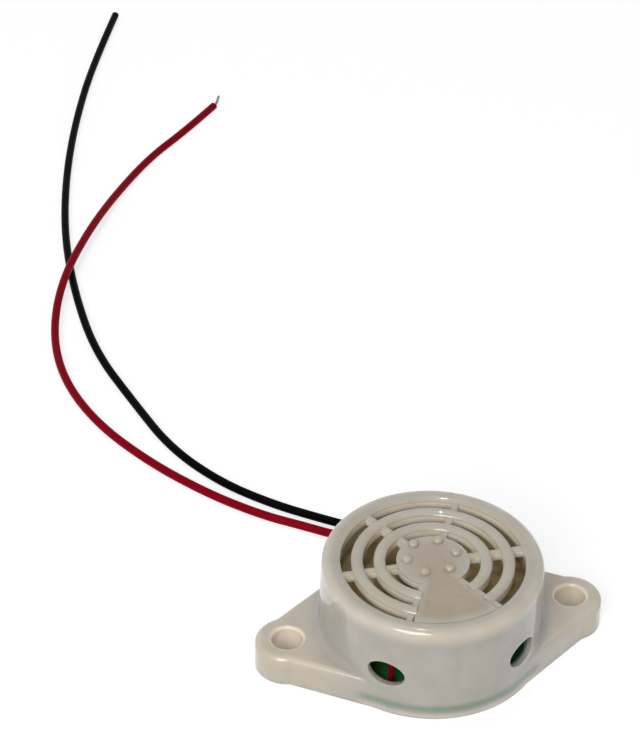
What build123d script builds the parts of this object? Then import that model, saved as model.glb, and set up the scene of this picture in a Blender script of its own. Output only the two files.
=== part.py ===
"""Self-driving piezo buzzer: a round grille-topped housing with two screw ears and two leads.

Frame: millimetres, origin at the bottom centre of the housing, +Z up through the grille.
+X runs through one ear, the plain sector of the grille faces -Y and the leads leave at +Y.
"""
import os
from math import acos, atan2, cos, degrees, hypot, pi, radians, sin, tan

from build123d import *

os.makedirs("parts", exist_ok=True)

# ---- housing, outside ----
body_height = 14.85          # crest of the rim and of the ribs
wall = 1.35                  # around the chamber, where the shoulder starts
draft = 0.4                  # how much wider the wall is at its foot
shoulder_radius = 1.1        # rounding between wall and rim
crown = 0.4                  # how far rim and ribs stand above the slots' edges
# ---- grille ----
slot_width = 1.45
slot_margin = 0.25           # largest ring slot inside the diaphragm's ledge
slot_pitch = 3.05
bar_width = 0.8
bar_count = 6
plain_half_angle = 27.0      # half of the solid sector, about -Y
plain_step = 0.1             # the plain sector and disc above the slots' edges
pip_circle_radius = 3.4
pip_shift = 0.8              # their circle sits this far towards +Y of the disc's middle
pip_radius = 0.72
pip_margin = 0.7             # least plain disc outside the circle of pips
pip_height = 0.6
pip_count = 6
# ---- housing, inside ----
plate_thickness = 1.25       # grille plate at the slots
ledge_width = 0.9            # the diaphragm's seat
diaphragm_clearance = 0.15   # around the diaphragm
cavity_depth = 2.2           # from the seat up to the grille plate
pocket_wall = 1.1            # wall around the circuit board, at the foot
board_seat_z = 2.15
# ---- windows in the wall ----
window_width = 5.35          # oval, along the wall
window_height = 3.8
window_z = 6.6
window_half_angle = 38.6     # degrees each side of -Y
window_wall = 0.8            # wall left at the window, thinned from inside
relief_margin = 0.9          # thinned wall beyond the oval
cut_allowance = 1.0          # openings are cut this far past both sides of the wall
# ---- ears ----
hole_stand_out = 4.6         # from the wall's foot to the hole's centre
hole_diameter = 4.2
ear_radius = 4.35
ear_height = 4.5
web_inset = 0.45             # how far the ear's sides lie inside its round end
web_tangent_inset = 0.2      # its sides aim this far inside the foot
ear_edge_radius = 0.8
root_radius = 0.9            # between ear and wall
hole_edge_radius = 0.45
# ---- leads ----
lead_diameter = 1.25
lead_gap = 0.15              # between the two leads in the outlet
lead_x = 1.0                 # middle of the pair
lead_lift = 0.225            # leads above the board
lead_clearance = 0.12        # around each lead in the wall
lead_reach = 1.95            # insulation inside the wall's inner face
lead_core_diameter = 0.45
table_gap = 0.025            # under a lead that lies on the table
crossing_gap = 0.4           # between the leads where red passes over black
strip_length = 0.9           # bare red end, up to its kink
kink = (0.7, 1.3, 0.7)       # and from there
tail_reach = 1.5             # from the insulation's end to the tails' holes
tail_spread = 1.7            # each tail's hole from the middle of the pair
sealant_inset = 0.25         # hot-melt from the wall's inner face
sealant_depth = 1.5
sealant_height = 2.1
sealant_margin = 0.8         # hot-melt beyond each lead
# ---- circuit board ----
board_thickness = 1.0
board_clearance = 0.15
copper_thickness = 0.04
track_width = 0.7
land_radius = 0.9
small_land_radius = 0.56
land_margin = 0.08           # land left clear around its solder
pin_hole_diameter = 0.8
solder_height = 0.55
dab_reach = 0.8              # glue down the pocket's wall and in over the board
dab_span = 24                # degrees
edge_margin = 0.3            # board left beyond any land
# ---- element ----
diaphragm_diameter = 27.0
diaphragm_thickness = 0.25
ceramic_rim = 3.5            # brass left bare around the ceramic
ceramic_thickness = 0.2
electrode_rim = 0.7          # ceramic left bare around the electrode
electrode_thickness = 0.03
tongue_width = 2.6
tongue_length = 6.0
tongue_gap = 0.6
bead_height = 0.85           # adhesive under the diaphragm's edge
bead_width = 0.75
joint_height = 0.55
joint_radius = 1.0
joint_tip_radius = 0.5
joint_margin = 0.2           # brass between the ceramic and the joint beside it
joint_inset = 2.6            # the other two joints from the electrode's edge
element_wire_diameter = 0.75
wire_drop = 1.3              # straight run below a joint
wire_shift = 2.3             # height in which a wire moves across
wire_stand_off = 0.5         # insulation ends this far above the board
fit = 0.02                   # clearance between curved faces that touch
# ---- components ----
pin_diameter = 0.45
resistor_diameter = 1.7
resistor_length = 3.5
resistor_waist = 1.46
resistor_face = 1.09         # flat end of its rounded cap
lead_span = 6.4              # hole to hole of a lying component
part_lift = 0.1              # lying bodies above the board
diode_diameter = 1.7
diode_length = 3.6
diode_band_width = 0.6
diode_band_depth = 0.06
transistor_radius = 2.3
transistor_flat = 1.35       # flat face from the axis
transistor_height = 4.6
transistor_edge_radius = 0.2
transistor_lift = 1.7
transistor_pitch = 1.27
choke_radius = 2.5
choke_height = 6.0
choke_edge_radius = 0.5
choke_pitch = 2.5
choke_lift = 0.15
capacitor_diameter = 4.4
capacitor_thickness = 2.2
capacitor_edge_radius = 0.7
coat_run = 1.47              # dipped coat down each leg, from inside the body
capacitor_pitch = 2.54
capacitor_lift = 0.9

# ---- worked-out radii, from the diaphragm outwards and inwards ----
chamber_radius = diaphragm_diameter / 2 + diaphragm_clearance
top_radius = chamber_radius + wall
base_radius = top_radius + draft
ledge_inner_radius = chamber_radius - ledge_width
slot_outer_radius = ledge_inner_radius - slot_margin
least_disc_radius = pip_circle_radius + pip_radius + pip_margin
ring_count = 1 + int((slot_outer_radius - slot_width - least_disc_radius) / slot_pitch)
disc_radius = slot_outer_radius - (ring_count - 1) * slot_pitch - slot_width
slot_outers = [slot_outer_radius - i * slot_pitch for i in range(ring_count)]
pocket_radius = base_radius - pocket_wall
board_radius = pocket_radius - board_clearance
ceramic_radius = diaphragm_diameter / 2 - ceramic_rim
electrode_radius = ceramic_radius - electrode_rim
ear_x = base_radius + hole_stand_out

# ---- worked-out heights ----
slot_z = body_height - crown
plate_z = slot_z - plate_thickness
plain_z = slot_z + plain_step
diaphragm_seat_z = plate_z - cavity_depth
diaphragm_z = diaphragm_seat_z - diaphragm_thickness
ceramic_z = diaphragm_z - ceramic_thickness
electrode_z = ceramic_z - electrode_thickness
board_z = board_seat_z - board_thickness
copper_z = board_z - copper_thickness

# ---- worked-out places of the leads ----
lead_pitch = lead_diameter + lead_gap
red_x, black_x = lead_x - lead_pitch / 2, lead_x + lead_pitch / 2
lead_z = board_seat_z + lead_lift + lead_diameter / 2
lead_start_y = chamber_radius - lead_reach
rest_z = lead_diameter / 2 + table_gap
over_z = rest_z + lead_diameter + crossing_gap



def polar(radius, angle):
    """Point (x, y) at a radius and an angle in degrees."""
    return radius * cos(radians(angle)), radius * sin(radians(angle))


def on_board(x, y):
    """The point, or the nearest to it whose land still lies on the board."""
    pull = min(1, (board_radius - land_radius - edge_margin) / hypot(x, y))
    return x * pull, y * pull


def pin_holes_of(place):
    """Centres of the two holes of a lying component."""
    x, y, turn = place
    dx, dy = polar(lead_span / 2, turn)
    return [(x - dx, y - dy), (x + dx, y + dy)]


def lying(x, y, turn):
    """Place of a lying component, drawn in until both its lands lie on the board."""
    for hole_x, hole_y in pin_holes_of((x, y, turn)):
        seat_x, seat_y = on_board(hole_x, hole_y)
        x, y = x + seat_x - hole_x, y + seat_y - hole_y
    return x, y, turn


# ---- places on the board (x, y) ----
resistor_places = [lying(-8.3, -4.5, 0), lying(9.6, 0.5, 90), lying(-5.6, 5.4, 0)]
diode_place = lying(1.6, -7.6, 0)
transistor_place = (5.2, -1.5)
choke_place = (-2.2, -0.9)
capacitor_place = (3.2, 4.2)
tail_y = lead_start_y - tail_reach
tail_places = {"red": (lead_x - tail_spread, tail_y), "black": (lead_x + tail_spread, tail_y)}

# each thin wire: its joint on the element, and its hole in the board
element_wires = {
    "red": (polar(electrode_radius - joint_inset, -131.5), on_board(-8.0, -9.5)),
    "blue": (polar(electrode_radius - joint_inset, 180), on_board(-8.3, 1.6)),
    "black": (polar(ceramic_radius + joint_radius + joint_margin, 41.4), on_board(6.6, 6.2)),
}


def write(part, label):
    """Label a finished piece and write its STEP file."""
    part.label = label
    export_step(part, f"parts/{label}.step")


def row_of(place, pitch, count):
    """Centres of the holes of a standing component, along X."""
    x, y = place
    return [(x + (i - (count - 1) / 2) * pitch, y) for i in range(count)]


transistor_pins = row_of(transistor_place, transistor_pitch, 3)
choke_pins = row_of(choke_place, choke_pitch, 2)
capacitor_pins = row_of(capacitor_place, capacitor_pitch, 2)
lying_pins = [p for place in resistor_places + [diode_place] for p in pin_holes_of(place)]
wire_pins = [end for start, end in element_wires.values()] + list(tail_places.values())
wide_pins = lying_pins + choke_pins + capacitor_pins + wire_pins
all_pins = wide_pins + transistor_pins

# ================= housing =================
def ear_outline(side):
    """Sketch one ear: sides aimed at the foot's circle, and a round end a little wider."""
    big, small = base_radius - web_tangent_inset, ear_radius - web_inset
    lean = acos((big - small) / ear_x)
    inner = (side * big * cos(lean), big * sin(lean))
    outer = (side * (ear_x + small * cos(lean)), small * sin(lean))
    with BuildSketch() as outline:
        with BuildLine():
            Polyline((0, 0), inner, outer)
            ThreePointArc(outer, (side * (ear_x + small), 0), (outer[0], -outer[1]))
            Polyline((outer[0], -outer[1]), (inner[0], -inner[1]), (0, 0))
        make_face()
        with Locations((side * ear_x, 0)):
            Circle(ear_radius)
    return outline.sketch


def radial_plane(angle):
    """Upright plane through the Z axis, its X pointing outwards at an angle."""
    return Plane(origin=(0, 0, 0), x_dir=(*polar(1, angle), 0), z_dir=(*polar(1, angle - 90), 0))


def ring_arc(start, span, points):
    """Turn a closed profile of (radius, z) points about Z, from one angle through a span."""
    with BuildPart() as ring:
        with BuildSketch(radial_plane(start)):
            with BuildLine():
                Polyline(*points, close=True)
            make_face()
        revolve(axis=Axis.Z, revolution_arc=span)
    return ring.part


with BuildPart() as housing:
    for side in (-1, 1):
        extrude(ear_outline(side), amount=ear_height)
        rim = housing.edges().filter_by_position(Axis.Z, ear_height, ear_height)
        fillet([edge for edge in rim if side * edge.center().X > ear_x / 2], ear_edge_radius)
    # shell with the rim's crown, turned about Z
    crest_radius = top_radius - shoulder_radius
    crown_fall = crest_radius - slot_outer_radius
    with BuildSketch(Plane.XZ):
        with BuildLine():
            Line((0, 0), (base_radius, 0))
            Line((base_radius, 0), (top_radius, body_height - shoulder_radius))
            JernArc((top_radius, body_height - shoulder_radius), (0, 1), shoulder_radius, 90)
            crown_radius = (crown_fall**2 + crown**2) / (2 * crown)
            crown_angle = degrees(2 * atan2(crown, crown_fall))
            JernArc((crest_radius, body_height), (-1, 0), crown_radius, crown_angle)
            Polyline((slot_outer_radius, slot_z), (0, slot_z), (0, 0))
        make_face()
    revolve(axis=Axis.Z)
    # soft root between ear and wall
    wall = housing.faces().filter_by(GeomType.CONE).sort_by(SortBy.AREA)[-1]
    roots = [
        edge
        for edge in wall.edges()
        if 0 < edge.bounding_box().min.Z and edge.bounding_box().max.Z < ear_height + root_radius / 2
    ]
    fillet(roots, root_radius)
    # screw holes
    with Locations((-ear_x, 0, ear_height), (ear_x, 0, ear_height)):
        Hole(hole_diameter / 2)
    circles = housing.edges().filter_by(GeomType.CIRCLE)
    top_circles = circles.filter_by_position(Axis.Z, ear_height, ear_height)
    hole_mouths = [edge for edge in top_circles if abs(edge.radius - hole_diameter / 2) < fit]
    fillet(hole_mouths, hole_edge_radius)
    # inside: board pocket, chamber, the diaphragm's ledge and the cavity above it
    with BuildSketch(Plane.XZ):
        with BuildLine():
            Polyline(
                (0, 0),
                (pocket_radius, 0),
                (pocket_radius, board_seat_z),
                (chamber_radius, board_seat_z),
                (chamber_radius, diaphragm_seat_z),
                (ledge_inner_radius, diaphragm_seat_z),
                (ledge_inner_radius, plate_z),
                (0, plate_z),
                close=True,
            )
        make_face()
    revolve(axis=Axis.Z, mode=Mode.SUBTRACT)
    # ring slots, crossed by the bars and stopped at the plain sector
    with BuildSketch(Plane.XY.offset(plate_z)):
        for outer in slot_outers:
            Circle(outer)
            Circle(outer - slot_width, mode=Mode.SUBTRACT)
        bar_length = slot_outer_radius + slot_width
        with PolarLocations(0, bar_count):
            Rectangle(bar_length, bar_width, align=(Align.MIN, Align.CENTER), mode=Mode.SUBTRACT)
        reach = 2 * slot_outer_radius
        sector_ends = [polar(reach, -90 - plain_half_angle), polar(reach, -90 + plain_half_angle)]
        with BuildLine():
            Polyline((0, 0), *sector_ends, close=True)
        make_face(mode=Mode.SUBTRACT)
    extrude(amount=slot_z - plate_z, mode=Mode.SUBTRACT)
    # crowned ribs, from one side of the plain sector round to the other
    for outer in slot_outers[1:]:
        rib_inner, rib_outer = outer, outer + slot_pitch - slot_width
        rib_crest = ((rib_inner + rib_outer) / 2, body_height)
        with BuildSketch(radial_plane(plain_half_angle - 90)):
            with BuildLine():
                ThreePointArc((rib_inner, slot_z), rib_crest, (rib_outer, slot_z))
                Line((rib_outer, slot_z), (rib_inner, slot_z))
            make_face()
        revolve(axis=Axis.Z, revolution_arc=360 - 2 * plain_half_angle)
    # plain sector and disc, and the six pips on the disc
    with BuildSketch(Plane.XY.offset(slot_z)):
        Circle(disc_radius)
        with BuildLine():
            side_x, side_y = polar(slot_outer_radius, -90 + plain_half_angle)
            Polyline((-side_x, side_y), (0, 0), (side_x, side_y))
            ThreePointArc((side_x, side_y), (0, -slot_outer_radius), (-side_x, side_y))
        make_face()
    extrude(amount=plain_step)
    with Locations((0, pip_shift, plain_z)):
        with PolarLocations(pip_circle_radius, pip_count):
            Cylinder(pip_radius, pip_height, align=(Align.CENTER, Align.CENTER, Align.MIN))
    fillet(housing.edges().group_by(Axis.Z)[-1], 0.9 * min(pip_height, pip_radius))
    # windows each side of -Y, and the leads' outlet at +Y
    inner, outer = chamber_radius - cut_allowance, (top_radius + base_radius) / 2 - window_wall
    low = window_z - window_height / 2 - relief_margin
    high = window_z + window_height / 2 + relief_margin
    relief_span = 2 * degrees((window_width / 2 + relief_margin) / outer)
    for angle in (-90 - window_half_angle, -90 + window_half_angle):
        relief = [(inner, low), (outer, low), (outer, high), (inner, high)]
        add(ring_arc(angle - relief_span / 2, relief_span, relief), mode=Mode.SUBTRACT)
        along, facing = (*polar(1, angle + 90), 0), (*polar(1, angle), 0)
        with BuildSketch(Plane(origin=(0, 0, window_z), x_dir=along, z_dir=facing).offset(inner)):
            Ellipse(window_width / 2, window_height / 2)
        extrude(amount=base_radius - inner + cut_allowance, mode=Mode.SUBTRACT)
    with BuildSketch(Plane.XZ.offset(cut_allowance - chamber_radius)):
        with Locations((lead_x, lead_z)):
            slot_height = lead_diameter + 2 * lead_clearance
            SlotOverall(slot_height + lead_pitch, slot_height)
    extrude(amount=-(base_radius - chamber_radius + 2 * cut_allowance), mode=Mode.SUBTRACT)
write(housing.part, "housing")

# ================= circuit board =================
with BuildPart() as circuit_board:
    with BuildSketch(Plane.XY.offset(board_z)):
        Circle(board_radius)
        with Locations(*all_pins):
            Circle(pin_hole_diameter / 2, mode=Mode.SUBTRACT)
    extrude(amount=board_thickness)
write(circuit_board.part, "circuit_board")

# lands round the holes and the tracks that join them, under the board
tracks = [
    [tail_places["red"], capacitor_pins[0], choke_pins[1]],
    [tail_places["black"], capacitor_pins[1], transistor_pins[2]],
    [choke_pins[0], lying_pins[1]],
    [lying_pins[0], element_wires["red"][1]],
    [transistor_pins[1], lying_pins[7]],
    [transistor_pins[0], choke_pins[1]],
    [lying_pins[2], lying_pins[7]],
    [lying_pins[3], element_wires["black"][1]],
    [lying_pins[4], element_wires["blue"][1]],
    [lying_pins[5], tail_places["red"]],
]
with BuildPart() as board_copper:
    with BuildSketch(Plane.XY.offset(copper_z)):
        with BuildLine():
            for route in tracks:
                Polyline(*route)
        trace(line_width=track_width)
        with Locations(*wide_pins):
            Circle(land_radius)
        with Locations(*transistor_pins):
            Circle(small_land_radius)
        with Locations(*all_pins):
            Circle(pin_hole_diameter / 2, mode=Mode.SUBTRACT)
    extrude(amount=copper_thickness)
write(board_copper.part, "board_copper")

# one joint under each land: wide at the land, narrow at its tip
with BuildPart() as board_solder:
    for places, land in ((wide_pins, land_radius), (transistor_pins, small_land_radius)):
        with Locations(*[(x, y, copper_z) for x, y in places]):
            Cone(
                pin_diameter / 2,
                land - land_margin,
                solder_height,
                align=(Align.CENTER, Align.CENTER, Align.MAX),
            )
write(board_solder.part, "board_solder")

# dabs in the corner between the pocket's wall and the board's underside
corner = pocket_radius - fit
dab_profile = [(corner, board_z), (corner, board_z - dab_reach), (corner - dab_reach, board_z)]
with BuildPart() as board_glue:
    for middle in (30, 150, 270):
        add(ring_arc(middle - dab_span / 2, dab_span, dab_profile))
write(board_glue.part, "board_glue")

# ================= sounding element =================
with BuildPart() as diaphragm:
    with BuildSketch(Plane.XY.offset(diaphragm_z)):
        Circle(diaphragm_diameter / 2)
    extrude(amount=diaphragm_thickness)
write(diaphragm.part, "diaphragm")

with BuildPart() as ceramic_disc:
    with BuildSketch(Plane.XY.offset(ceramic_z)):
        Circle(ceramic_radius)
    extrude(amount=ceramic_thickness)
write(ceramic_disc.part, "ceramic_disc")


def tongue(extra):
    """Feedback tongue: a strip in from the electrode's edge at -X, round at its inner end."""
    middle_x = -electrode_radius + tongue_length - tongue_width / 2
    length = electrode_radius + middle_x
    with BuildSketch(Plane.XY.offset(electrode_z)) as shape:
        Circle(electrode_radius)
        with BuildSketch(mode=Mode.INTERSECT):
            with Locations((middle_x, 0)):
                Circle(tongue_width / 2 + extra)
                Rectangle(length + 1, tongue_width + 2 * extra, align=(Align.MAX, Align.CENTER))
    return shape.sketch


with BuildPart() as feedback_electrode:
    extrude(tongue(0), amount=electrode_thickness)
write(feedback_electrode.part, "feedback_electrode")

with BuildPart() as main_electrode:
    with BuildSketch(Plane.XY.offset(electrode_z)):
        Circle(electrode_radius)
        add(tongue(tongue_gap), mode=Mode.SUBTRACT)
    extrude(amount=electrode_thickness)
write(main_electrode.part, "main_electrode")

# bead of adhesive under the diaphragm's edge, against the wall
bead = chamber_radius - fit
bead_profile = [(bead, diaphragm_z), (bead, diaphragm_z - bead_height), (bead - bead_width, diaphragm_z)]
with BuildPart() as diaphragm_glue:
    add(ring_arc(0, 360, bead_profile))
write(diaphragm_glue.part, "diaphragm_glue")

joint_faces = {"red": electrode_z, "blue": electrode_z, "black": diaphragm_z}
with BuildPart() as element_solder:
    for colour, (start, end) in element_wires.items():
        with Locations((*start, joint_faces[colour])):
            Cone(
                joint_tip_radius,
                joint_radius,
                joint_height,
                align=(Align.CENTER, Align.CENTER, Align.MAX),
            )
write(element_solder.part, "element_solder")


def tube(points, diameter, radii=None):
    """Round bar along straight runs joined by tangent arcs."""
    if radii is None:
        radii = corner_radii(points)
    with BuildPart() as bar:
        with BuildLine() as path:
            FilletPolyline(*points, radius=radii)
        with BuildSketch(Plane(origin=path.line @ 0, z_dir=path.line % 0)):
            Circle(diameter / 2)
        sweep()
    return bar.part


def corner_radii(points):
    """Largest tangent arc at each corner: 0.45 of the shorter run over tan(half the turn)."""
    radii = []
    for before, corner, after in zip(points, points[1:], points[2:]):
        run_in, run_out = Vector(*corner) - Vector(*before), Vector(*after) - Vector(*corner)
        turn = radians(run_in.get_angle(run_out))
        radii.append(0.45 * min(run_in.length, run_out.length) / tan(turn / 2))
    return radii


# thin wires from the element down to the board
wire_foot_z = board_seat_z + wire_stand_off
for colour, (start, end) in element_wires.items():
    top_z = joint_faces[colour] - joint_height
    route = [
        (*start, top_z),
        (*start, top_z - wire_drop),
        (*end, top_z - wire_drop - wire_shift),
        (*end, wire_foot_z),
    ]
    write(tube(route, element_wire_diameter), f"element_wire_{colour}")

# ================= components =================
def bent_pin(place, body_length, z):
    """The two leads of a lying component: out of its ends, then down through the board."""
    x, y, turn = place
    axis = Vector(cos(radians(turn)), sin(radians(turn)), 0)
    pins = []
    for side in (-1, 1):
        near = Vector(x, y, z) + axis * (side * body_length / 2)
        far = Vector(x, y, z) + axis * (side * lead_span / 2)
        pins.append(tube([near, far, Vector(far.X, far.Y, copper_z)], pin_diameter, pin_diameter * 1.2))
    return pins


def straight_pins(places, top):
    """Round pins from the land up to a component's underside."""
    with BuildPart() as pins:
        with Locations(*[(x, y, copper_z) for x, y in places]):
            Cylinder(pin_diameter / 2, top - copper_z, align=(Align.CENTER, Align.CENTER, Align.MIN))
    return pins.part


resistor_z = board_seat_z + part_lift + resistor_diameter / 2
for number, place in enumerate(resistor_places, start=1):
    x, y, turn = place
    direction = Vector(cos(radians(turn)), sin(radians(turn)), 0)
    with BuildPart() as resistor:
        # waisted body with a rounder cap at each end
        with BuildSketch(Plane.XZ):
            half, cap = resistor_length / 2, resistor_length / 4
            face, full, waist = resistor_face / 2, resistor_diameter / 2, resistor_waist / 2
            with BuildLine():
                Line((-half, 0), (-half, face))
                ThreePointArc((-half, face), (-half + cap / 2, full), (-half + cap, waist))
                Line((-half + cap, waist), (half - cap, waist))
                ThreePointArc((half - cap, waist), (half - cap / 2, full), (half, face))
                Polyline((half, face), (half, 0), (-half, 0))
            make_face()
        revolve(axis=Axis.X)
    write(Location((x, y, resistor_z), (0, 0, turn)) * resistor.part, f"resistor_{number}")
    with BuildPart() as leads:
        add(bent_pin(place, resistor_length, resistor_z))
    write(leads.part, f"resistor_leads_{number}")

diode_z = board_seat_z + part_lift + diode_diameter / 2
band_x = diode_place[0] + diode_length / 2 - 2 * diode_band_width
diode_plane = Plane(origin=(0, diode_place[1], diode_z), x_dir=(0, 1, 0), z_dir=(1, 0, 0))
with BuildPart() as diode:
    with BuildSketch(diode_plane.offset(diode_place[0] - diode_length / 2)):
        Circle(diode_diameter / 2)
    extrude(amount=diode_length)
    fillet(diode.edges().filter_by(GeomType.CIRCLE), diode_diameter / 4)
    with BuildSketch(diode_plane.offset(band_x)):
        Circle(diode_diameter / 2)
        Circle(diode_diameter / 2 - diode_band_depth, mode=Mode.SUBTRACT)
    extrude(amount=diode_band_width, mode=Mode.SUBTRACT)
write(diode.part, "diode")
with BuildPart() as diode_band:
    with BuildSketch(diode_plane.offset(band_x)):
        Circle(diode_diameter / 2)
        Circle(diode_diameter / 2 - diode_band_depth, mode=Mode.SUBTRACT)
    extrude(amount=diode_band_width)
write(diode_band.part, "diode_band")
with BuildPart() as diode_leads:
    add(bent_pin(diode_place, diode_length, diode_z))
write(diode_leads.part, "diode_leads")

transistor_z = board_seat_z + transistor_lift
with BuildPart() as transistor:
    with BuildSketch(Plane.XY.offset(transistor_z)):
        with Locations(transistor_place):
            Circle(transistor_radius)
        with Locations((transistor_place[0], transistor_place[1] - transistor_flat)):
            Rectangle(
                2 * transistor_radius,
                transistor_radius,
                align=(Align.CENTER, Align.MAX),
                mode=Mode.SUBTRACT,
            )
    extrude(amount=transistor_height)
    fillet(transistor.edges().group_by(Axis.Z)[-1], transistor_edge_radius)
write(transistor.part, "transistor")
write(straight_pins(transistor_pins, transistor_z), "transistor_legs")

choke_z = board_seat_z + choke_lift
with BuildPart() as choke:
    with BuildSketch(Plane.XY.offset(choke_z)):
        with Locations(choke_place):
            Circle(choke_radius)
    extrude(amount=choke_height)
    fillet(choke.edges().group_by(Axis.Z)[-1], choke_edge_radius)
write(choke.part, "choke")
write(straight_pins(choke_pins, choke_z), "choke_legs")

capacitor_z = board_seat_z + capacitor_lift + capacitor_diameter / 2
with BuildPart() as capacitor:
    x, y = capacitor_place
    with BuildSketch(Plane(origin=(x, y + capacitor_thickness / 2, capacitor_z), z_dir=(0, -1, 0))):
        Circle(capacitor_diameter / 2)
    extrude(amount=capacitor_thickness)
    fillet(capacitor.edges().filter_by(GeomType.CIRCLE), capacitor_edge_radius)
    # the dipped coat runs a little way down both legs
    with Locations(*[(px, py, board_seat_z + capacitor_lift) for px, py in capacitor_pins]):
        Cylinder(pin_diameter, coat_run, align=(Align.CENTER, Align.CENTER, Align.MIN))
write(capacitor.part, "capacitor")
write(straight_pins(capacitor_pins, board_seat_z + capacitor_lift), "capacitor_legs")

# ================= leads =================
red_route = [
    (red_x, lead_start_y, lead_z),
    (red_x, 16.6, lead_z),
    (-2.6, 20.4, 2.2),
    (-6.7, 22.7, 1.0),
    (-11.5, 26.7, rest_z),
    (-16.7, 30.3, rest_z),
    (-23.3, 36.7, rest_z),
    (-30.3, 45.8, rest_z),
    (-36.2, 56.6, rest_z),
    (-39.2, 68.4, rest_z),
    (-38.8, 80.1, 1.0),
    (-35.3, 91.8, over_z),
    (-28.7, 104.6, over_z),
    (-22.0, 116.2, 1.0),
    (-14.2, 126.5, rest_z),
    (-6.9, 133.2, rest_z),
    (-0.4, 140.1, rest_z),
]
black_route = [
    (black_x, lead_start_y, lead_z),
    (black_x, 16.6, lead_z),
    (-0.3, 20.0, 2.4),
    (-3.8, 23.4, 1.4),
    (-8.4, 27.6, rest_z),
    (-14.6, 32.3, rest_z),
    (-21.1, 39.0, rest_z),
    (-26.5, 48.3, rest_z),
    (-29.7, 60.1, rest_z),
    (-33.2, 74.2, rest_z),
    (-33.6, 90.6, rest_z),
    (-32.4, 107.1, rest_z),
    (-29.1, 124.4, rest_z),
    (-24.5, 141.1, rest_z),
    (-18.4, 158.5, rest_z),
    (-11.5, 174.4, rest_z),
]
for colour, route in (("red", red_route), ("black", black_route)):
    lead = tube(route, lead_diameter)
    write(lead, f"lead_{colour}")
    length = lead.volume / (pi * lead_diameter**2 / 4)
    print(f"lead_{colour}: {length:.1f} mm long, radii", [round(r, 1) for r in corner_radii(route)])

# bare tinned end of the red lead, a little kinked
end, before = Vector(*red_route[-1]), Vector(*red_route[-2])
ahead = (end - before).normalized()
bend = end + ahead * strip_length
tip_points = [end, bend, bend + Vector(*kink)]
write(tube(tip_points, lead_core_diameter, 1.0), "lead_red_tip")

# stripped ends that turn down through the board
tails = [
    tube(
        [
            (lead, lead_start_y, lead_z),
            (lead, lead_start_y - 0.5, lead_z),
            (*tail_places[colour], lead_z),
            (*tail_places[colour], copper_z),
        ],
        lead_core_diameter,
        [0.3, 0.5],
    )
    for colour, lead in (("red", red_x), ("black", black_x))
]
with BuildPart() as wire_tails:
    add(tails)
    with Locations(*[(*end, copper_z) for start, end in element_wires.values()]):
        Cylinder(pin_diameter / 2, wire_foot_z - copper_z, align=(Align.CENTER, Align.CENTER, Align.MIN))
write(wire_tails.part, "wire_tails")

# hot-melt that grips both leads to the board, just inside the outlet
sealant_y = chamber_radius - sealant_inset - sealant_depth / 2
sealant_width = lead_pitch + lead_diameter + 2 * sealant_margin
with BuildPart() as lead_sealant:
    with BuildSketch(Plane.XY.offset(board_seat_z)):
        with Locations((lead_x, sealant_y)):
            RectangleRounded(sealant_width, sealant_depth, sealant_depth / 3)
    extrude(amount=sealant_height)
    fillet(lead_sealant.edges().group_by(Axis.Z)[-1], sealant_depth / 3)
    with BuildSketch(Plane.XY.offset(board_seat_z)):
        Circle(chamber_radius - fit)
    extrude(amount=sealant_height, mode=Mode.INTERSECT)
    for lead in (red_x, black_x):
        with BuildSketch(Plane.XZ):
            with Locations((lead, lead_z)):
                Circle(lead_diameter / 2 + fit)
        extrude(amount=-base_radius, mode=Mode.SUBTRACT)
write(lead_sealant.part, "lead_sealant")
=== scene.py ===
from math import cos, pi, radians, sin

import bpy
from mathutils import Matrix, Vector


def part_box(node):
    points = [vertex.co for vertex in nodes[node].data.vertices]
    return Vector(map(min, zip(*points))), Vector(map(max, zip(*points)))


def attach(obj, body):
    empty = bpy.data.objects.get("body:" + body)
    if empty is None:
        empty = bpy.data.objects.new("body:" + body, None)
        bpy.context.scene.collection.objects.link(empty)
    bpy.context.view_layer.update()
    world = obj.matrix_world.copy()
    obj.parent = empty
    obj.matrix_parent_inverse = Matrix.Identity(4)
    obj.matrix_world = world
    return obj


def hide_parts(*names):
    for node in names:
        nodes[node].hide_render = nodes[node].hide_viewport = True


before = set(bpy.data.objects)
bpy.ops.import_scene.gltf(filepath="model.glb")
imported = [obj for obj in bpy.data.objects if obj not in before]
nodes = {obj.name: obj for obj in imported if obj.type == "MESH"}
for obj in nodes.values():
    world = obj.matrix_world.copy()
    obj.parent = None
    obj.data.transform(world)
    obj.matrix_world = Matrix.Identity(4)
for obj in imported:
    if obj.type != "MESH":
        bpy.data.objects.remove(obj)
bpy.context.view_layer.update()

mm = 0.001
scene = bpy.context.scene
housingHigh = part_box("housing")[1]
boardLow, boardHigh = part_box("circuit_board")
print("frame loaded,", len(nodes), "nodes")


# helpers that keep the material trees short

def newMaterial(name, colour, roughness, metallic=0.0, coat=(0.0, 0.03)):
    # coat is the weight and roughness of a clear layer on top
    material = bpy.data.materials.new(name)
    material.use_nodes = True
    tree = material.node_tree
    surface = tree.nodes["Principled BSDF"]
    surface.inputs["Base Color"].default_value = (*colour, 1)
    surface.inputs["Roughness"].default_value = roughness
    surface.inputs["Metallic"].default_value = metallic
    surface.inputs["Coat Weight"].default_value = coat[0]
    surface.inputs["Coat Roughness"].default_value = coat[1]
    return material, tree, surface


def feed(tree, socket, value):
    if isinstance(value, bpy.types.NodeSocket):
        tree.links.new(value, socket)
    elif value is not None:
        socket.default_value = value


def calculate(tree, operation, first, second=None):
    node = tree.nodes.new("ShaderNodeMath")
    node.operation = operation
    feed(tree, node.inputs[0], first)
    feed(tree, node.inputs[1], second)
    return node.outputs[0]


def multiply(tree, first, *others):
    result = first
    for other in others:
        result = calculate(tree, "MULTIPLY", result, other)
    return result


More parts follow.
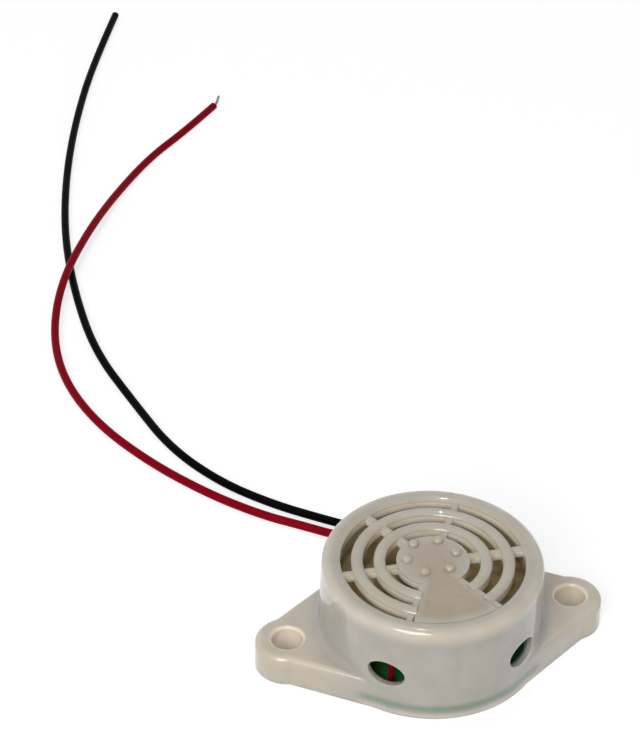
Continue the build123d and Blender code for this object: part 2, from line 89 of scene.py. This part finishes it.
def distanceFrom(tree, x, y):
    squares = [calculate(tree, "POWER", side, 2.0) for side in (x, y)]
    return calculate(tree, "SQRT", calculate(tree, "ADD", *squares))


def ramp(tree, value, low, high, atLow=0.0, atHigh=1.0):
    node = tree.nodes.new("ShaderNodeMapRange")
    node.interpolation_type = "SMOOTHSTEP"
    feed(tree, node.inputs["Value"], value)
    feed(tree, node.inputs["From Min"], low)
    feed(tree, node.inputs["From Max"], high)
    feed(tree, node.inputs["To Min"], atLow)
    feed(tree, node.inputs["To Max"], atHigh)
    return node.outputs["Result"]


def rising(tree, value, limits, base=0.0):
    # 0 below the first limit and 1 above the second, both in mm above the base
    return ramp(tree, value, base + limits[0] * mm, base + limits[1] * mm)


def falling(tree, value, limits, base=0.0):
    return ramp(tree, value, base + limits[0] * mm, base + limits[1] * mm, 1.0, 0.0)


def band(tree, value, middle, halfWidth):
    # 1 at the middle, 0 past the half width
    away = calculate(tree, "ABSOLUTE", calculate(tree, "SUBTRACT", value, middle))
    return ramp(tree, away, 0.0, halfWidth, 1.0, 0.0)


def blendColour(tree, factor, first, second, how="MIX"):
    node = tree.nodes.new("ShaderNodeMix")
    node.data_type = "RGBA"
    node.blend_type = how
    colourSockets = node.inputs[6], node.inputs[7]
    feed(tree, node.inputs["Factor"], factor)
    for socket, value in zip(colourSockets, (first, second)):
        feed(tree, socket, (*value, 1) if isinstance(value, tuple) else value)
    return node.outputs[2]


def objectPlace(tree, shift=(0, 0, 0), turn=0.0, scale=(1, 1, 1)):
    place = tree.nodes.new("ShaderNodeTexCoord").outputs["Object"]
    mapping = tree.nodes.new("ShaderNodeMapping")
    mapping.vector_type = "TEXTURE"
    mapping.inputs["Location"].default_value = shift
    mapping.inputs["Rotation"].default_value = (0, 0, turn)
    mapping.inputs["Scale"].default_value = scale
    tree.links.new(place, mapping.inputs["Vector"])
    return mapping.outputs["Vector"]


def splitPlace(tree, vector):
    node = tree.nodes.new("ShaderNodeSeparateXYZ")
    tree.links.new(vector, node.inputs[0])
    return node.outputs


def grain(tree, vector, scale, detail=4.0):
    node = tree.nodes.new("ShaderNodeTexNoise")
    tree.links.new(vector, node.inputs["Vector"])
    node.inputs["Scale"].default_value = scale
    node.inputs["Detail"].default_value = detail
    node.inputs["Roughness"].default_value = 0.55
    return node.outputs["Fac"]


def addBump(tree, surface, height, distance, strength):
    node = tree.nodes.new("ShaderNodeBump")
    node.inputs["Strength"].default_value = strength
    node.inputs["Distance"].default_value = distance
    tree.links.new(height, node.inputs["Height"])
    tree.links.new(node.outputs["Normal"], surface.inputs["Normal"])


def varyRoughness(tree, surface, value, low, high):
    tree.links.new(ramp(tree, value, 0.3, 0.7, low, high), surface.inputs["Roughness"])


# the housing's milky plastic changes colour with its place on the moulding, and painted light and
# shade are mixed in;
# heights are in mm from the top, radii in mm from the axis, angles in degrees from the front
housingLook = {
    "top": (0.43, 0.395, 0.33),
    "wall": (0.41, 0.39, 0.345),
    # painted highlight along the rim's shoulder
    "shoulder": (0.56, 0.51, 0.43),
    "ear": (0.52, 0.46, 0.375),
    "sector": (0.385, 0.315, 0.225),
    # painted light on the walls of the slots and screw holes
    "grooveLight": (0.80, 0.72, 0.60),
    # painted light along the foot of the wall
    "foot": (0.60, 0.53, 0.45),
    # painted shade of the board, seen through the wall
    "boardShadowColour": (0.17, 0.27, 0.17),
    "mottle": (0.50, 0.44, 0.33),
    "mottleStrength": 0.16,
    "roughness": (0.34, 0.46),
    "shine": 0.4,
    "coat": (0.9, 0.045),
    "translucency": 0.85,
    "lightReach": 2.0 * mm,
    "lightReachByColour": (1.0, 0.8, 0.55),
    "topHeights": (-1.9, -0.7),
    "shoulderHeight": -1.3,
    "shoulderHalfWidth": 1.7,
    "shoulderRadii": (13.4, 14.2),
    "earRadii": (15.2, 17.2),
    "earPaleRadii": (15.4, 20.5),
    "earLeast": 0.55,             # how much of the ear's colour shows beside the wall, where painted shade darkens the crease
    "sectorAngles": (20.0, 29.0),
    "sectorRadii": (10.8, 12.6),
    "discRadii": (1.5, 5.5),
    "discStrength": 0.8,
    "grooveHeights": (-1.1, -0.65),
    "grooveFootHeights": (-3.4, -2.6),
    "grooveRadii": (12.52, 12.7),
    "holeAxis": 20.0,
    "holeRadii": (2.12, 2.6),
    "wallInnerRadii": (14.9, 15.1),
    "wallOuterRadii": (15.5, 16.3),
    "boardShadowHalfHeight": 1.1,
    "boardShadowStrength": 0.8,
    "footHeights": (0.4, 1.1),    # from the floor
    "mottleScale": 260.0,
    "fineScale": 2600.0,
    "bumpDepth": 0.03 * mm,
    "bumpStrength": 0.35,
}


def plainMask(tree, x, y, radius, isTop):
    # the plain sector and the middle of the disc are a little browner
    look = housingLook
    fromFront = calculate(tree, "ARCTAN2", x, multiply(tree, y, -1.0))
    near, far = [radians(limit) for limit in look["sectorAngles"]]
    inAngle = ramp(tree, calculate(tree, "ABSOLUTE", fromFront), near, far, 1.0, 0.0)
    isSector = multiply(tree, inAngle, falling(tree, radius, look["sectorRadii"]), isTop)
    start, end = [limit * mm for limit in look["discRadii"]]
    isDisc = multiply(tree, ramp(tree, radius, start, end, look["discStrength"], 0.0), isTop)
    return calculate(tree, "MAXIMUM", isSector, isDisc)


def grooveLightMask(tree, x, y, z, radius):
    # painted light: the walls of the slots and screw holes are painted pale, standing in for light
    # that soaks through the thin ribs
    look = housingLook
    underTop = falling(tree, z, look["grooveHeights"], housingHigh.z)
    overCavity = rising(tree, z, look["grooveFootHeights"], housingHigh.z)
    inGrille = falling(tree, radius, look["grooveRadii"])
    isGroove = multiply(tree, underTop, overCavity, inGrille)
    beside = calculate(tree, "SUBTRACT", calculate(tree, "ABSOLUTE", x), look["holeAxis"] * mm)
    inHole = falling(tree, distanceFrom(tree, beside, y), look["holeRadii"])
    return calculate(tree, "MAXIMUM", isGroove, inHole)


def housingColour(tree, x, y, z, mottle):
    look = housingLook
    radius = distanceFrom(tree, x, y)
    isTop = rising(tree, z, look["topHeights"], housingHigh.z)
    isEar = rising(tree, radius, look["earRadii"])
    # painted shade: the ears are darker beside the wall, in the crease against the body
    earCreaseShade = ramp(tree, rising(tree, radius, look["earPaleRadii"]), 0.0, 1.0, look["earLeast"], 1.0)
    # painted highlight: a pale band is painted where the wall turns over into the rim
    turn = housingHigh.z + look["shoulderHeight"] * mm
    atTurn = band(tree, z, turn, look["shoulderHalfWidth"] * mm)
    shoulderHighlightBand = multiply(tree, atTurn, rising(tree, radius, look["shoulderRadii"]))
    # painted shade: the board's green shadow, seen through the thin wall just above the foot, is
    # painted on
    pastInner = rising(tree, radius, look["wallInnerRadii"])
    onWall = multiply(tree, pastInner, falling(tree, radius, look["wallOuterRadii"]))
    boardMiddle = (boardLow.z + boardHigh.z) / 2
    boardShadowBand = multiply(tree, band(tree, z, boardMiddle, look["boardShadowHalfHeight"] * mm), onWall)
    # painted light: the foot of the wall, just above the floor, is painted paler
    footLightBand = multiply(tree, falling(tree, z, look["footHeights"]), onWall)
    colour = blendColour(tree, isTop, look["wall"], look["top"])
    colour = blendColour(tree, multiply(tree, isEar, earCreaseShade), colour, look["ear"])
    colour = blendColour(tree, shoulderHighlightBand, colour, look["shoulder"])
    colour = blendColour(tree, plainMask(tree, x, y, radius, isTop), colour, look["sector"])
    colour = blendColour(tree, grooveLightMask(tree, x, y, z, radius), colour, look["grooveLight"])
    colour = blendColour(tree, multiply(tree, boardShadowBand, look["boardShadowStrength"]), colour, look["boardShadowColour"])
    colour = blendColour(tree, footLightBand, colour, look["foot"])
    stain = ramp(tree, mottle, 0.3, 0.7, 0.0, look["mottleStrength"])
    return blendColour(tree, stain, colour, look["mottle"], "MULTIPLY")


def housingPlastic():
    look = housingLook
    material, tree, surface = newMaterial("housingPlastic", look["wall"], 0.36, coat=look["coat"])
    surface.inputs["Subsurface Weight"].default_value = look["translucency"]
    surface.inputs["Subsurface Radius"].default_value = look["lightReachByColour"]
    surface.inputs["Subsurface Scale"].default_value = look["lightReach"]
    surface.inputs["Specular IOR Level"].default_value = look["shine"]
    place = objectPlace(tree)
    x, y, z = splitPlace(tree, place)
    mottle = grain(tree, place, look["mottleScale"], 3.0)
    fine = grain(tree, place, look["fineScale"], 5.0)
    tree.links.new(housingColour(tree, x, y, z, mottle), surface.inputs["Base Color"])
    varyRoughness(tree, surface, mottle, *look["roughness"])
    skin = calculate(tree, "ADD", multiply(tree, mottle, 0.6), multiply(tree, fine, 0.4))
    addBump(tree, surface, skin, look["bumpDepth"], look["bumpStrength"])
    return material


# bare metals: colour, roughness, scale of the patches and how far they tarnish
metalLook = {
    "tinnedWire": ((0.26, 0.26, 0.255), 0.34, 900.0, 0.2),
    "solder": ((0.64, 0.65, 0.66), 0.22, 1400.0, 0.35),
    "tinnedCopper": ((0.70, 0.42, 0.24), 0.3, 700.0, 0.3),
    # the brass is darker than clean brass: partly the brass's own dull colour, partly painted shade
    # for the dark hollow under the grille
    "rolledBrass": ((0.30, 0.235, 0.12), 0.5, 300.0, 0.5),
    "firedSilver": ((0.70, 0.69, 0.64), 0.42, 1100.0, 0.3),
}
tarnishShade = 0.55         # the tarnish against the clean metal
metalSkinDepth = 0.01 * mm


def metalFinish(name):
    colour, roughness, scale, tarnish = metalLook[name]
    material, tree, surface = newMaterial(name, colour, roughness, 1.0)
    place = objectPlace(tree)
    patches = grain(tree, place, scale, 5.0)
    dull = tuple(part * tarnishShade for part in colour)
    stain = ramp(tree, patches, 0.35, 0.75, 0.0, tarnish)
    tree.links.new(blendColour(tree, stain, colour, dull), surface.inputs["Base Color"])
    varyRoughness(tree, surface, patches, roughness * 0.8, roughness * 1.5)
    addBump(tree, surface, grain(tree, place, scale * 4, 3.0), metalSkinDepth, 0.4)
    return material


# coats, glues and mouldings: colour, roughness, scale of the patches, depth of the skin
# in mm, and the clear layer where there is one
coatLook = {
    "firedCeramic": ((0.50, 0.47, 0.38), 0.6, 500.0, 0.02),
    "softSealant": ((0.66, 0.64, 0.58), 0.35, 400.0, 0.05),
    "milkyGlue": ((0.66, 0.60, 0.46), 0.3, 420.0, 0.06),
    "orangeGlass": ((0.48, 0.10, 0.02), 0.12, 300.0, 0.01, (0.6, 0.03)),
    "blackBand": ((0.015, 0.015, 0.015), 0.3, 700.0, 0.02),
    "mouldedEpoxy": ((0.018, 0.018, 0.02), 0.5, 900.0, 0.04),
    "shrinkSleeve": ((0.02, 0.02, 0.022), 0.32, 260.0, 0.03),
    "dippedCoat": ((0.50, 0.26, 0.06), 0.3, 340.0, 0.06),
}
patchShade = 0.72           # the darker patches against the coat
patchStrength = 0.5


def coatFinish(name):
    colour, roughness, scale, depth, *coat = coatLook[name]
    material, tree, surface = newMaterial(name, colour, roughness, 0.0, *coat)
    place = objectPlace(tree)
    patches = grain(tree, place, scale)
    darker = tuple(part * patchShade for part in colour)
    stain = ramp(tree, patches, 0.3, 0.75, 0.0, patchStrength)
    tree.links.new(blendColour(tree, stain, colour, darker), surface.inputs["Base Color"])
    varyRoughness(tree, surface, patches, roughness * 0.85, min(1.0, roughness * 1.25))
    addBump(tree, surface, grain(tree, place, scale * 3), depth * mm, 0.4)
    return material


# solder mask over a woven laminate, paler at the cut edge
boardLook = {
    "maskDark": (0.010, 0.15, 0.026),
    "maskPale": (0.016, 0.21, 0.04),
    "weave": (0.03, 0.28, 0.07),
    "weavePitch": 0.55 * mm,
    "cutEdge": (0.30, 0.36, 0.14),
    "cutEdgeWidth": (-0.12, -0.02),   # mm from the board's rim
    "weaveStrength": 0.18,
    "weaveDepth": 0.006 * mm,
    "cutEdgeStrength": 0.8,
    "patchScale": 420.0,
    "coat": (0.3, 0.2),
    "roughness": (0.28, 0.45),
}


def boardFinish():
    look = boardLook
    material, tree, surface = newMaterial("boardMask", look["maskPale"], 0.35, coat=look["coat"])
    place = objectPlace(tree)
    x, y, z = splitPlace(tree, place)
    wave = 2 * pi / look["weavePitch"]
    warp, weft = [calculate(tree, "SINE", multiply(tree, side, wave)) for side in (x, y)]
    weave = multiply(tree, warp, weft)
    patches = grain(tree, place, look["patchScale"])
    start, end = [boardHigh.x + limit * mm for limit in look["cutEdgeWidth"]]
    atRim = ramp(tree, distanceFrom(tree, x, y), start, end, 0.0, look["cutEdgeStrength"])
    crossing = ramp(tree, weave, -0.2, 1.0, 0.0, look["weaveStrength"])
    colour = blendColour(tree, ramp(tree, patches, 0.3, 0.7), look["maskDark"], look["maskPale"])
    colour = blendColour(tree, crossing, colour, look["weave"])
    colour = blendColour(tree, atRim, colour, look["cutEdge"])
    tree.links.new(colour, surface.inputs["Base Color"])
    varyRoughness(tree, surface, patches, *look["roughness"])
    addBump(tree, surface, weave, look["weaveDepth"], 0.5)
    return material


# soft insulation: colour, colour of its paler patches, and how much its skin shines
vinylLook = {
    "redVinyl": ((0.205, 0.0005, 0.007), (0.26, 0.001, 0.012), 0.03),
    "blackVinyl": ((0.0015, 0.0015, 0.0015), (0.003, 0.003, 0.003), 0.02),
    "blueVinyl": ((0.02, 0.07, 0.32), (0.03, 0.10, 0.40), 0.3),
}
vinylSkin = {
    "patchScale": 520.0,
    "patchStrength": 0.55,
    "skinScale": 5200.0,
    "skinDepth": 0.012 * mm,
    "roughness": (0.32, 0.48),
}


def vinylFinish(name):
    colour, paler, shine = vinylLook[name]
    material, tree, surface = newMaterial(name, colour, 0.4)
    surface.inputs["Specular IOR Level"].default_value = shine
    place = objectPlace(tree)
    patches = grain(tree, place, vinylSkin["patchScale"])
    skin = grain(tree, place, vinylSkin["skinScale"], 3.0)
    pale = ramp(tree, patches, 0.35, 0.8, 0.0, vinylSkin["patchStrength"])
    tree.links.new(blendColour(tree, pale, colour, paler), surface.inputs["Base Color"])
    varyRoughness(tree, surface, patches, *vinylSkin["roughness"])
    addBump(tree, surface, skin, vinylSkin["skinDepth"], 0.35)
    return material


# tan resistors with four painted bands; places and widths in mm along the body
resistorLook = {
    "coat": (0.56, 0.38, 0.20),
    "patch": (0.62, 0.58, 0.52),
    "bands": [
        (-1.15, (0.24, 0.06, 0.02)),
        (-0.45, (0.02, 0.02, 0.02)),
        (0.2, (0.55, 0.10, 0.01)),
        (1.15, (0.60, 0.42, 0.12)),
    ],
    "bandHalfWidth": 0.16,
    "patchScale": 2.2,
    "patchStrength": 0.35,
    "roughness": (0.32, 0.48),
    "skinDepth": 0.02 * mm,
}


def resistorFinish(node):
    look = resistorLook
    low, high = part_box(node)
    turn = 0.0 if high.x - low.x > high.y - low.y else pi / 2
    material, tree, surface = newMaterial(node + "Coat", look["coat"], 0.38)
    place = objectPlace(tree, shift=(low + high) / 2, turn=turn, scale=(mm, mm, mm))
    along = splitPlace(tree, place)[0]
    colour = look["coat"]
    for where, bandColour in look["bands"]:
        away = calculate(tree, "ABSOLUTE", calculate(tree, "SUBTRACT", along, where))
        inBand = calculate(tree, "LESS_THAN", away, look["bandHalfWidth"])
        colour = blendColour(tree, inBand, colour, bandColour)
    patches = grain(tree, place, look["patchScale"])
    stain = ramp(tree, patches, 0.35, 0.7, 0.0, look["patchStrength"])
    colour = blendColour(tree, stain, colour, look["patch"], "MULTIPLY")
    tree.links.new(colour, surface.inputs["Base Color"])
    varyRoughness(tree, surface, patches, *look["roughness"])
    addBump(tree, surface, patches, look["skinDepth"], 0.4)
    return material


def putOn(material, *names):
    for name in names:
        mesh = nodes[name].data
        mesh.materials.clear()
        mesh.materials.append(material)


redVinyl, blackVinyl, blueVinyl = [vinylFinish(name) for name in vinylLook]
tinned = metalFinish("tinnedWire")
resistorNumbers = (1, 2, 3)

putOn(housingPlastic(), "housing")
putOn(boardFinish(), "circuit_board")
putOn(metalFinish("tinnedCopper"), "board_copper")
putOn(metalFinish("solder"), "board_solder", "element_solder")
putOn(metalFinish("rolledBrass"), "diaphragm")
putOn(coatFinish("firedCeramic"), "ceramic_disc")
putOn(metalFinish("firedSilver"), "main_electrode", "feedback_electrode")
putOn(coatFinish("softSealant"), "diaphragm_glue")
putOn(coatFinish("milkyGlue"), "board_glue", "lead_sealant")
putOn(redVinyl, "element_wire_red")
putOn(blackVinyl, "element_wire_black")
putOn(blueVinyl, "element_wire_blue")
putOn(tinned, "wire_tails", "diode_leads", "transistor_legs", "choke_legs", "capacitor_legs")
putOn(coatFinish("orangeGlass"), "diode")
putOn(coatFinish("blackBand"), "diode_band")
putOn(coatFinish("mouldedEpoxy"), "transistor")
putOn(coatFinish("shrinkSleeve"), "choke")
putOn(coatFinish("dippedCoat"), "capacitor")
for number in resistorNumbers:
    putOn(tinned, f"resistor_leads_{number}")
    putOn(resistorFinish(f"resistor_{number}"), f"resistor_{number}")
print("materials on", sum(bool(node.data.materials) for node in nodes.values()), "nodes")


# the two flying leads; routes in mm from inside the housing to the free end
outletY = 15.4
leads = {
    "diameter": 1.25 * mm,
    "bevelResolution": 10,
    "red": {
        "length": 0.157,
        "exit": (0.3, outletY, 3.0),
        "route": [
            (0.3, 11.7, 3.0), (0.3, 16.6, 3.0), (-2.6, 20.4, 2.2), (-6.7, 22.7, 1.0),
            (-11.5, 26.7, 0.65), (-16.7, 30.3, 0.65), (-23.3, 36.7, 0.65), (-30.3, 45.8, 0.65),
            (-36.2, 56.6, 0.65), (-39.2, 68.4, 0.65), (-38.8, 80.1, 1.0), (-35.3, 91.8, 2.3),
            (-28.7, 104.6, 2.3), (-22.0, 116.2, 1.0), (-14.2, 126.5, 0.65), (-6.9, 133.2, 0.65),
            (-0.4, 140.1, 0.65),
        ],
    },
    "black": {
        "length": 0.178,
        "exit": (1.7, outletY, 3.0),
        "route": [
            (1.7, 11.7, 3.0), (1.7, 16.6, 3.0), (-0.3, 20.0, 2.4), (-3.8, 23.4, 1.4),
            (-8.4, 27.6, 0.65), (-14.6, 32.3, 0.65), (-21.1, 39.0, 0.65), (-26.5, 48.3, 0.65),
            (-29.7, 60.1, 0.65), (-33.2, 74.2, 0.65), (-33.6, 90.6, 0.65), (-32.4, 107.1, 0.65),
            (-29.1, 124.4, 0.65), (-24.5, 141.1, 0.65), (-18.4, 158.5, 0.65), (-11.5, 174.4, 0.65),
        ],
    },
}


def makeLine(name, points, resolution, tiltStep=0.0):
    # a smooth line that runs from the first point to the last, in metres
    curve = bpy.data.curves.new(name, "CURVE")
    curve.dimensions = "3D"
    spline = curve.splines.new("NURBS")
    spline.points.add(len(points) - 1)
    for number, (point, place) in enumerate(zip(spline.points, points)):
        point.co = (*place, 1)
        point.tilt = tiltStep * number
    spline.order_u = 3
    spline.use_endpoint_u = True
    spline.resolution_u = resolution
    line = bpy.data.objects.new(name, curve)
    scene.collection.objects.link(line)
    return line


def makeLead(name, route, material):
    lead = makeLine(name, [[part * mm for part in place] for place in route], 12)
    lead.data.bevel_depth = leads["diameter"] / 2
    lead.data.bevel_resolution = leads["bevelResolution"]
    lead.data.use_fill_caps = True
    lead.data.materials.append(material)
    return lead


# bare strands: a twisted bundle that follows a short line, laid round it by Geometry Nodes
strandLook = {
    "count": 7,
    "strandDiameter": 0.15 * mm,
    "bundleRadius": 0.15 * mm,
    "twist": 0.6,
    "sides": 8,
    "lineResolution": 10,
    "redSteps": (-0.3, 0.4, 0.9),              # mm ahead of the red insulation's end
    "redKink": (0.67, 1.25, 0.67),             # mm from the last step to the tip
    "blackSteps": (-0.4, -0.2, 0.0, 0.04),     # cut square, a hair proud of the insulation
}


def strandTree(material):
    tree = bpy.data.node_groups.new("strandBundle", "GeometryNodeTree")
    face = tree.interface
    face.new_socket("Geometry", in_out="INPUT", socket_type="NodeSocketGeometry")
    face.new_socket("Geometry", in_out="OUTPUT", socket_type="NodeSocketGeometry")
    sockets = {}
    for label in ("Count", "Strand Radius", "Bundle Radius", "Sides"):
        kind = "NodeSocketFloat" if "Radius" in label else "NodeSocketInt"
        sockets[label] = face.new_socket(label, in_out="INPUT", socket_type=kind).identifier
    add, link = tree.nodes.new, tree.links.new
    start, end = add("NodeGroupInput"), add("NodeGroupOutput")
    # one point in the middle and the rest in a ring round it
    around = add("ShaderNodeMath")
    around.operation = "SUBTRACT"
    around.inputs[1].default_value = 1
    ring = add("GeometryNodeMeshCircle")
    ring.fill_type = "NONE"
    ringPoints, middle = add("GeometryNodeMeshToPoints"), add("GeometryNodePoints")
    allPoints = add("GeometryNodeJoinGeometry")
    link(start.outputs["Count"], around.inputs[0])
    link(around.outputs[0], ring.inputs["Vertices"])
    link(start.outputs["Bundle Radius"], ring.inputs["Radius"])
    link(ring.outputs["Mesh"], ringPoints.inputs["Mesh"])
    link(ringPoints.outputs["Points"], allPoints.inputs[0])
    link(middle.outputs[0], allPoints.inputs[0])
    # a small circle on each point makes the profile that is swept along the line
    profile = add("GeometryNodeCurvePrimitiveCircle")
    onPoints = add("GeometryNodeInstanceOnPoints")
    loose = add("GeometryNodeRealizeInstances")
    link(start.outputs["Sides"], profile.inputs["Resolution"])
    link(start.outputs["Strand Radius"], profile.inputs["Radius"])
    link(allPoints.outputs[0], onPoints.inputs["Points"])
    link(profile.outputs["Curve"], onPoints.inputs["Instance"])
    link(onPoints.outputs["Instances"], loose.inputs[0])
    sweep = add("GeometryNodeCurveToMesh")
    sweep.inputs["Fill Caps"].default_value = True
    realize = add("GeometryNodeRealizeInstances")
    finish = add("GeometryNodeSetMaterial")
    finish.inputs["Material"].default_value = material
    link(start.outputs["Geometry"], sweep.inputs["Curve"])
    link(loose.outputs[0], sweep.inputs["Profile Curve"])
    link(sweep.outputs["Mesh"], realize.inputs[0])
    link(realize.outputs[0], finish.inputs["Geometry"])
    link(finish.outputs["Geometry"], end.inputs[0])
    return tree, sockets


def makeStrands(name, points):
    look = strandLook
    guide = makeLine(name + "Line", points, look["lineResolution"], look["twist"])
    tree, sockets = strandTree(tinned)
    modifier = guide.modifiers.new("strands", "NODES")
    modifier.node_group = tree
    modifier[sockets["Count"]] = look["count"]
    modifier[sockets["Strand Radius"]] = look["strandDiameter"] / 2
    modifier[sockets["Bundle Radius"]] = look["bundleRadius"]
    modifier[sockets["Sides"]] = look["sides"]
    bpy.context.view_layer.update()
    evaluated = guide.evaluated_get(bpy.context.evaluated_depsgraph_get())
    mesh = bpy.data.meshes.new_from_object(evaluated)
    mesh.name = name
    bpy.data.objects.remove(guide)
    strands = bpy.data.objects.new(name, mesh)
    scene.collection.objects.link(strands)
    for polygon in mesh.polygons:
        polygon.use_smooth = True
    return strands


def stepsPastEnd(route, steps):
    # points on the lead's own line, at these steps past its free end
    before, last = [Vector(place) * mm for place in route[-2:]]
    ahead = (last - before).normalized()
    return [last + ahead * step * mm for step in steps]


redLead = makeLead("redLead", leads["red"]["route"], redVinyl)
blackLead = makeLead("blackLead", leads["black"]["route"], blackVinyl)
redPoints = stepsPastEnd(leads["red"]["route"], strandLook["redSteps"])
redPoints.append(redPoints[-1] + Vector(strandLook["redKink"]) * mm)
redStrands = makeStrands("redStrands", redPoints)
blackPoints = stepsPastEnd(leads["black"]["route"], strandLook["blackSteps"])
blackStrands = makeStrands("blackStrands", blackPoints)
print("leads and bare strands made")

for piece, slot in (
    (redLead, "wire_red"),
    (blackLead, "wire_black"),
    (redStrands, "tinned_wire"),
    (blackStrands, "tinned_wire"),
):
    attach(piece, "root")
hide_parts("lead_red")
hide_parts("lead_black")
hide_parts("lead_red_tip")


# pale floor and backdrop; sizes in metres
stage = {
    "floorSize": 6.0,
    "floorColour": (0.86, 0.86, 0.86),
    "floorRoughness": 0.9,
    "floorShadow": 0.42,        # how much of the floor's look is real shading
    "floorWhite": 1.22,         # brings the open floor up to the white backdrop
    "backdrop": (1.0, 1.0, 1.0),
    "world": (0.95, 0.97, 1.0),
    "worldStrength": 0.38,
}


def seenDirectly(tree):
    # camera, mirror and glass rays see the plain white backdrop
    path = tree.nodes.new("ShaderNodeLightPath")
    seen = calculate(tree, "MAXIMUM", path.outputs["Is Camera Ray"], path.outputs["Is Glossy Ray"])
    return calculate(tree, "MAXIMUM", seen, path.outputs["Is Transmission Ray"])


def makeFloor():
    half = stage["floorSize"] / 2
    corners = [(-half, -half, 0), (half, -half, 0), (half, half, 0), (-half, half, 0)]
    mesh = bpy.data.meshes.new("floor")
    mesh.from_pydata(corners, [], [(0, 1, 2, 3)])
    floor = bpy.data.objects.new("floor", mesh)
    scene.collection.objects.link(floor)
    material, tree, surface = newMaterial("floorPaper", stage["floorColour"], stage["floorRoughness"])
    white = tree.nodes.new("ShaderNodeEmission")
    white.inputs["Color"].default_value = (*stage["backdrop"], 1)
    white.inputs["Strength"].default_value = stage["floorWhite"]
    mix = tree.nodes.new("ShaderNodeMixShader")
    tree.links.new(multiply(tree, seenDirectly(tree), 1 - stage["floorShadow"]), mix.inputs[0])
    tree.links.new(surface.outputs[0], mix.inputs[1])
    tree.links.new(white.outputs[0], mix.inputs[2])
    tree.links.new(mix.outputs[0], tree.nodes["Material Output"].inputs["Surface"])
    mesh.materials.append(material)


def makeWorld():
    world = bpy.data.worlds.new("studio")
    scene.world = world
    world.use_nodes = True
    tree = world.node_tree
    background = tree.nodes["Background"]
    seen = seenDirectly(tree)
    colour = blendColour(tree, seen, stage["world"], stage["backdrop"])
    strength = ramp(tree, seen, 0.0, 1.0, stage["worldStrength"], 1.0)
    tree.links.new(colour, background.inputs["Color"])
    tree.links.new(strength, background.inputs["Strength"])


# a small lamp nearly overhead for the crisp highlights, a broad one from the front left
lamps = {
    "overheadKey": {"azimuth": 176, "elevation": 79, "distance": 0.9, "width": 0.035, "watts": 1.15},
    "frontSoft": {"azimuth": -34, "elevation": 38, "distance": 0.9, "width": 0.50, "watts": 5.4},
}


def fromObject(azimuth, elevation):
    around, up = radians(azimuth), radians(elevation)
    return Vector((sin(around) * cos(up), -cos(around) * cos(up), sin(up)))


def makeLamps():
    for name, given in lamps.items():
        light = bpy.data.lights.new(name, "AREA")
        light.shape = "DISK"
        light.size = given["width"]
        light.energy = given["watts"]
        lamp = bpy.data.objects.new(name, light)
        direction = fromObject(given["azimuth"], given["elevation"])
        lamp.location = direction * given["distance"]
        lamp.rotation_euler = direction.to_track_quat("Z", "Y").to_euler()
        scene.collection.objects.link(lamp)


# where the camera stands: angles in degrees, lengths in mm
cameraSetup = {
    "azimuth": -14.408,
    "elevation": 37.294,
    "roll": 1.234,
    "distance": 397.062,
    "aside": 14.933,        # the view's middle lies this far left of the housing's middle
    "above": 36.370,        # and this far above its foot
    "lens": 138.6503,
    "sensor": 36.0,
    "clip": (0.01, 20.0),   # nearest and farthest that it sees, in metres
}


def makeCamera():
    setup = cameraSetup
    around, roll = radians(setup["azimuth"]), radians(setup["roll"])
    back = fromObject(setup["azimuth"], setup["elevation"])
    level = Vector((cos(around), sin(around), 0))
    rise = back.cross(level)
    right = level * cos(roll) + rise * sin(roll)
    up = rise * cos(roll) - level * sin(roll)
    place = back * setup["distance"] - right * setup["aside"] + up * setup["above"]
    data = bpy.data.cameras.new("camera")
    data.sensor_width = setup["sensor"]
    data.lens = setup["lens"]
    data.clip_start, data.clip_end = setup["clip"]
    camera = bpy.data.objects.new("camera", data)
    turned = Matrix((right, up, back)).transposed().to_4x4()
    camera.matrix_world = Matrix.Translation(place * mm) @ turned
    scene.collection.objects.link(camera)
    scene.camera = camera


makeFloor()
makeWorld()
makeLamps()
makeCamera()
scene.view_settings.view_transform = "Standard"
print("stage, lamps and camera set")
